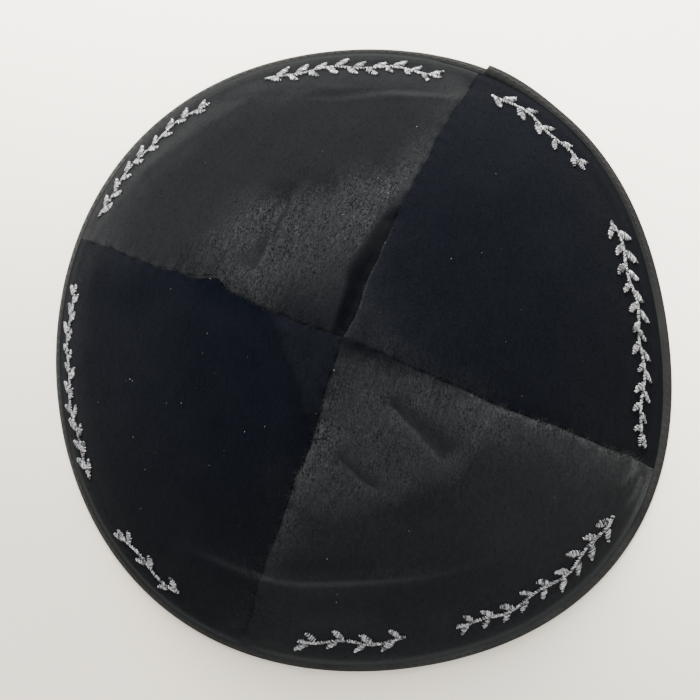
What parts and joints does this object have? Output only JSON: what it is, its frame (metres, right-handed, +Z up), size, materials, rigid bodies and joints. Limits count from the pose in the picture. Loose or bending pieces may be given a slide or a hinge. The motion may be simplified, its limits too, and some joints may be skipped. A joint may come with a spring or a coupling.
{
  "type": "kippah skullcap",
  "caption": "Round velvet skullcap of curved gores meeting at a plain crossing, hollow below, with a folded woven tape round the rim.",
  "frame": {"origin": "middle of the footprint, on the surface that the rim rests on", "axes": "+Z up through the crown, -Y towards the front panel, +X towards the right panel"},
  "size_m": [0.1802, 0.1822, 0.0496],
  "materials": {
    "velvet_light": "black velvet, pile lying towards the light",
    "velvet_dark": "black velvet, pile lying away from the light",
    "binding_tape": "black woven tape, matt",
    "silver_thread": "silver metallic embroidery thread, satin stitched"
  },
  "bodies": {
    "root": {"panel_back": "velvet_light", "panel_left": "velvet_dark", "panel_front": "velvet_light", "panel_right": "velvet_dark", "rim_binding": "binding_tape"}
  },
  "joints": []
}
